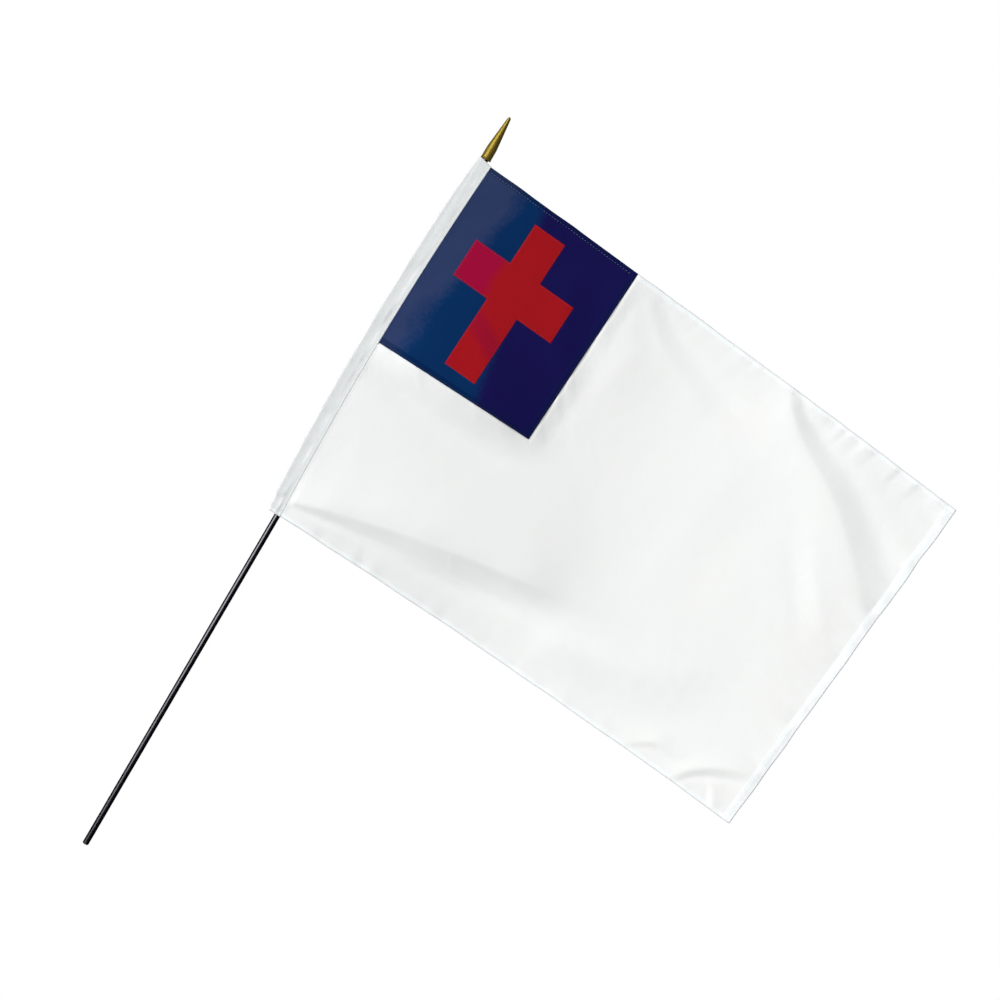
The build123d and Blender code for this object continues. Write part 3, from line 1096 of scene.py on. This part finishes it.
def canton_colour(tree, where, flat, threads):
    """Violet navy dye under a painted sheen: slate at the hoist, blue next to it, the dye alone over the fly
    side.
    """
    # slate and blue are the navy under a painted sheen; violet is the dye itself
    sheen_slate, blue, violet = (0.030, 0.050, 0.132), (0.0012, 0.029, 0.112), (0.0085, 0.0062, 0.078)
    uneven, doubled, between_threads = (0.004, 0.004, 0.05), (0.0, 0.008, 0.045), (0.0, 0.0, 0.012)
    bands = edges_of(canton_size, seam_allowance, top_hem, seam_allowance)
    # painted sheen, fading from the hoist towards the fly
    sheen_to_blue = crossfade(tree, place_along(tree, where, -0.134, 22 * mm), -43 * mm, 14 * mm)
    sheen_to_violet = crossfade(tree, place_along(tree, where, 0.18, 14 * mm), 160 * mm, 9 * mm)
    dye_and_sheen = mixed(tree, sheen_to_violet, mixed(tree, sheen_to_blue, sheen_slate, blue), violet)
    dye_and_sheen = mixed(tree, scaled(tree, noise(tree, where, 30, 3.0), 0.35), dye_and_sheen, uneven)
    dye_and_sheen = mixed(tree, scaled(tree, edge_bands(tree, flat, bands), 0.45), dye_and_sheen, doubled)
    return mixed(tree, scaled(tree, threads, 0.14), dye_and_sheen, between_threads)


def cross_colour(tree, where, flat, threads):
    """Red dye: crimson at the hoist side under a painted sheen, and darker in a painted fold shadow across
    the cross's foot.
    """
    # crimson is the red under a painted sheen, and the band red is a painted fold shadow
    sheen_crimson, red, fold_shade_red = (0.325, 0.0030, 0.042), (0.352, 0.0075, 0.0115), (0.27, 0.004, 0.034)
    streak_red, between_threads = (0.26, 0.004, 0.012), (0.14, 0.0, 0.0)
    # painted sheen over the hoist side
    sheen_to_red = crossfade(tree, place_along(tree, where, 0.0, 12 * mm), 50 * mm, 8 * mm)
    dye_and_sheen = mixed(tree, sheen_to_red, sheen_crimson, red)
    # painted fold shadow: a darker band slanting across the cross's foot
    across = scaled(tree, along_axis(tree, where, 0), 0.5)
    across = scaled(tree, along_axis(tree, where, 2), 0.866, across)
    off_fold_shade = math_node(tree, "ABSOLUTE", less(tree, across, 444 * mm))
    band = less(tree, 1.0, crossfade(tree, off_fold_shade, 7 * mm, 6 * mm))
    dye_and_sheen = mixed(tree, scaled(tree, band, 0.6), dye_and_sheen, fold_shade_red)
    dye_and_sheen = mixed(tree, scaled(tree, noise(tree, where, 60, 3.0), 0.30), dye_and_sheen, streak_red)
    return mixed(tree, scaled(tree, threads, 0.12), dye_and_sheen, between_threads)


def thread_material(name, colour, over_blue=None):
    """Twisted sewing thread, which sinks in and looks duller where it crosses the canton."""
    material, tree, shader, where = new_material(name)
    twist = noise(tree, where, 4200, 2.0)
    tint = mixed(tree, twist, tuple(c * 0.8 for c in colour), colour)
    if over_blue is not None:
        past = crossfade(tree, along_axis(tree, where, 0), value(canton_fly, 0.57), 2 * mm)
        tint = mixed(tree, past, over_blue, tint)
    feed(tree, shader, {
        "Base Color": tint,
        "Roughness": 0.5,
        "Sheen Weight": 0.15,
        "Normal": bump(tree, twist, 0.04 * mm),
    })
    return material


def lacquer_material():
    """Black lacquer on a dowel: grain just shows through it, and it is rubbed here and there."""
    material, tree, shader, where = new_material("black_lacquer")
    given = {"Vector": where, "Scale": (1.0, 1.0, 0.03)}
    stretched = add_node(tree, "ShaderNodeMapping", given).outputs["Vector"]
    rub = noise(tree, where, 120, 5.0, 0.65)
    ripple = bump(tree, noise(tree, stretched, 500, 2.0), 0.02 * mm)
    deep, rubbed = (0.0004, 0.0004, 0.0006), (0.0018, 0.0018, 0.0024)
    feed(tree, shader, {
        "Base Color": ramp(tree, rub, ((0.35, deep), (0.75, rubbed))),
        "Roughness": scaled(tree, rub, 0.16, 0.10),
        "IOR": 2.2,
        "Specular Tint": (0.84, 0.84, 1.0, 1.0),
        "Coat Weight": 0.5,
        "Coat IOR": 1.6,
        "Coat Roughness": 0.15,
        "Normal": bump(tree, noise(tree, stretched, 2600, 4.0, 0.6), 0.004 * mm, ripple),
    })
    return material


def gilt_material():
    """Vacuum-gilt plastic: warm metal with a slightly uneven film, darker where it is thin."""
    material, tree, shader, where = new_material("gilt_plastic")
    film = noise(tree, where, 420, 4.0, 0.6)
    fine = noise(tree, where, 2600, 3.0, 0.6)
    thin, even, thick = (0.30, 0.21, 0.026), (0.39, 0.285, 0.038), (0.45, 0.33, 0.055)
    feed(tree, shader, {
        "Base Color": ramp(tree, film, ((0.30, thin), (0.55, even), (0.8, thick))),
        "Metallic": 0.75,
        "Roughness": scaled(tree, fine, 0.14, 0.36),
        "Normal": bump(tree, fine, 0.02 * mm, bump(tree, film, 0.10 * mm)),
    })
    return material


def field_white():
    """The field's cloth, doubled in its hems."""
    return cloth_material("white_cloth", white_of(
        cool=(0.85, 0.875, 0.872),
        warm=(0.87, 0.87, 0.855),
        thread_shade=(0.79, 0.81, 0.81),
        doubled=(0.905, 0.94, 0.95),
        bands=edges_of(field_size, bottom_hem, top_hem, fly_hem),
        # where the painted edge shade lies
        creases=edges_of(field_size, edge_shade_width, edge_shade_width, edge_shade_width),
        # how strong the painted shade towards the staff is
        hoist_shade=0.065,
    ))


def sleeve_white():
    """The sleeve's cloth, a good deal greyer than the field's, doubled at its lap and its lower mouth."""
    return cloth_material("sleeve_cloth", white_of(
        cool=(0.635, 0.665, 0.67),
        warm=(0.69, 0.705, 0.705),
        thread_shade=(0.58, 0.605, 0.615),
        doubled=(0.76, 0.80, 0.80),
        bands=((0, -far, 1.9 * mm), (1, -far, 2.9 * mm)),
        # painted shade along the sleeve's two mouths
        creases=((1, -far, edge_shade_width), (1, sleeve_rise - edge_shade_width, far)),
    ))


# ================= staff and spear =================
def profile_of(node):
    """A turned CAD node's outline as radius and height, from the foot up."""
    points = points_of(node)
    radius = np.round(np.hypot(points[:, 0], points[:, 1]), 6)
    heights = np.round(points[:, 2], 5)
    return [(radius[heights == h].max(), h) for h in np.unique(heights)]


def lathe(name, profile, sides, relief, sharp):
    """A solid of revolution with a little relief in its radius."""
    points = []
    turns = np.arange(sides) * 2 * math.pi / sides
    for radius, height in profile:
        for turn in turns:
            r = radius + relief(turn, height) * min(1.0, radius / (1 * mm))
            points.append((r * math.cos(turn), r * math.sin(turn), height))
    return add_mesh(name, points, tube_faces(len(profile), sides), sharp=sharp)


def make_staff():
    """The dowel up to the spear's mouth: its foot bevel as in the CAD, its surface barely uneven."""
    bevel = [(r, h) for r, h in profile_of("staff") if h < staff_low.z + 1.2 * mm]
    bevel = [(bevel[0][0] * 0.6, staff_low.z), *bevel]
    heights = np.linspace(bevel[-1][1], staff_high.z, 360)[1:]
    tip_r = profile_of("staff")[-1][0]
    taper = [np.interp(h, (spear_low.z, staff_high.z), (staff_r, tip_r)) for h in heights]

    def relief(turn, height):
        return 0.018 * mm * math.sin(3 * turn + 40 * height) * math.sin(90 * height)

    return lathe("black_dowel", [*bevel, *zip(taper, heights)], 48, relief, 35)


def make_spear():
    """The moulded spear: closed at its mouth round the dowel, with a faint parting line."""
    over_socket = staff_high.z + 1 * mm
    outline = {h: r for r, h in profile_of("spear_finial") if r > staff_r * 0.98 or h > over_socket}
    heights, radii = np.array(sorted(outline.items())).T
    dense = np.unique(np.concatenate([heights, np.arange(heights[0], heights[-1], 0.35 * mm)]))
    profile = [(np.interp(h, heights, radii), h) for h in dense]
    tip_r = 0.05 * mm
    profile = [(staff_r * 1.02, spear_low.z), *[p for p in profile if p[0] > tip_r]]
    profile.append((tip_r, spear_high.z))

    def relief(turn, height):
        return 0.07 * mm * math.exp(-((math.sin(turn) / 0.05) ** 2))

    return lathe("gilt_spear", profile, 96, relief, 40)


# ================= stage, lights and camera =================
def add_light(name, toward, distance, size, power):
    """A soft lamp, so wide and so high, that faces the flag from one direction."""
    lamp = bpy.data.lights.new(name, "AREA")
    lamp.shape = "RECTANGLE"
    lamp.size, lamp.size_y = size
    lamp.energy = power
    holder = bpy.data.objects.new(name, lamp)
    direction = Vector(toward).normalized()
    holder.location = (cad_low + cad_high) / 2 + direction * distance
    holder.rotation_euler = direction.to_track_quat("Z", "Y").to_euler()
    bpy.context.scene.collection.objects.link(holder)
    return holder


def make_world():
    """Plain white behind the flag; softer for what lights it, and dim for what it reflects."""
    world = bpy.data.worlds.new("studio")
    bpy.context.scene.world = world
    world.use_nodes = True
    tree = world.node_tree
    tree.nodes.clear()
    path = add_node(tree, "ShaderNodeLightPath").outputs
    dimmed = scaled(tree, path["Is Glossy Ray"], -0.29, 0.33)
    way = add_node(tree, "ShaderNodeTexCoord").outputs["Generated"]
    sideways = math_node(tree, "ABSOLUTE", along_axis(tree, way, 0))
    given = {"Value": sideways, 1: 0.35, 2: 0.80, 3: 1.0, 4: 0.2}  # full ahead, a fifth at the sides
    share = add_node(tree, "ShaderNodeMapRange", given).outputs[0]
    room, plain = (
        add_node(tree, "ShaderNodeBackground", {"Color": (1, 1, 1, 1), "Strength": strength}).outputs[0]
        for strength in (scaled(tree, share, dimmed), 1.0)
    )
    both = add_node(tree, "ShaderNodeMixShader", {0: path["Is Camera Ray"], 1: room, 2: plain})
    add_node(tree, "ShaderNodeOutputWorld", {"Surface": both.outputs[0]})


def make_floor():
    """A pale round floor well below the held flag, fading to the white around it."""
    depth, radius, sides = 0.60, 3.2, 96
    ring = [
        (radius * math.cos(a), radius * math.sin(a), -depth)
        for a in np.linspace(0, 2 * math.pi, sides, endpoint=False)
    ]
    floor = add_mesh("floor", ring, [tuple(range(sides))])
    material, tree, shader, where = new_material("pale_floor")
    away = add_node(tree, "ShaderNodeVectorMath", {0: where}, operation="LENGTH").outputs["Value"]
    outside = add_node(tree, "ShaderNodeMapRange", {"Value": away, 1: 0.9, 2: 2.0}).outputs[0]
    pale = mixed(tree, noise(tree, where, 3, 2.0), (0.80, 0.80, 0.79), (0.84, 0.84, 0.84))
    feed(tree, shader, {"Base Color": pale, "Roughness": 0.8})
    glow = add_node(tree, "ShaderNodeEmission", {"Color": (1, 1, 1, 1), "Strength": 1.0}).outputs[0]
    both = add_node(tree, "ShaderNodeMixShader", {0: outside, 1: shader.outputs[0], 2: glow})
    feed(tree, tree.nodes["Material Output"], {"Surface": both.outputs[0]})
    floor.data.materials.append(material)
    floor.visible_glossy = False  # the dark dowel would mirror its white rim


def make_camera():
    """Square on to the flag's front, rolled so that the staff leans."""
    distance = 3.0
    field_across = 0.741  # how much shows across the picture at the flag, in metres
    lean = math.radians(30.325)
    camera = bpy.data.cameras.new("camera")
    camera.lens = camera.sensor_width * distance / field_across
    camera.clip_end = 100
    holder = bpy.data.objects.new("camera", camera)
    right = Vector((math.cos(lean), 0, math.sin(lean)))
    up = Vector((-math.sin(lean), 0, math.cos(lean)))
    turn = Matrix((right, up, right.cross(up))).transposed().to_4x4()
    view_centre = Vector((0.1367, 0, 0.3753))
    holder.matrix_world = Matrix.Translation(view_centre - Vector((0, distance, 0))) @ turn
    bpy.context.scene.collection.objects.link(holder)
    bpy.context.scene.camera = holder


def make_lights():
    """A big soft key from the hoist side, a raking lamp that models the folds, and one behind."""
    add_light("key", (-0.78, -1.0, 0.27), 12.0, (11.0, 8.0), 860)
    raking = add_light("raking", (-2.1, -1.0, 0.80), 12.0, (3.0, 3.0), 850)
    raking.visible_glossy = False
    behind = add_light("behind", (-0.5, 1.0, 0.7), 6.0, (3.2, 3.2), 170)
    behind.visible_glossy = False


# ================= assembly =================
def finish_piece(piece, body, slot, material, *nodes):
    """Gives a piece its material and body, and hides the CAD nodes that it stands for. Its slot is not used.
    """
    piece.data.materials.append(material)
    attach(piece, body)
    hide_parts(*nodes)
    return piece


make_camera()
make_world()
make_lights()
make_floor()
bpy.context.scene.view_settings.view_transform = "Standard"

white_thread = thread_material("white_thread", (0.90, 0.91, 0.90))
top_thread = thread_material("top_hem_thread", (0.90, 0.91, 0.90), over_blue=(0.20, 0.21, 0.26))
blue_thread = thread_material("blue_thread", (0.012, 0.012, 0.07))
red_thread = thread_material("red_thread", (0.33, 0.008, 0.014))
blue = cloth_material("blue_cloth", canton_colour, gloss=0.05)
red = cloth_material("red_cloth", cross_colour, gloss=0.05)

finish_piece(make_staff(), "staff", "staff", lacquer_material(), "staff")
finish_piece(make_spear(), "staff", "spear", gilt_material(), "spear_finial")
field = finish_piece(make_field(), "flag", "white_cloth", field_white(), "field_cloth")
canton = finish_piece(make_canton(), "flag", "blue_cloth", blue, "canton_cloth")
cross = finish_piece(make_cross(), "flag", "red_cloth", red, "cross_cloth")
sleeve = finish_piece(make_sleeve(), "flag", "white_cloth", sleeve_white(), "pole_sleeve")
thread_finish = {
    "top_hem_thread": ("white_thread", top_thread),
    "canton_seam_thread": ("blue_thread", blue_thread),
    "cross_seam_thread": ("red_thread", red_thread),
}
threads = make_threads()
for node, piece in threads.items():
    slot_name, material = thread_finish.get(node, ("white_thread", white_thread))
    finish_piece(piece, "flag", slot_name, material, node)
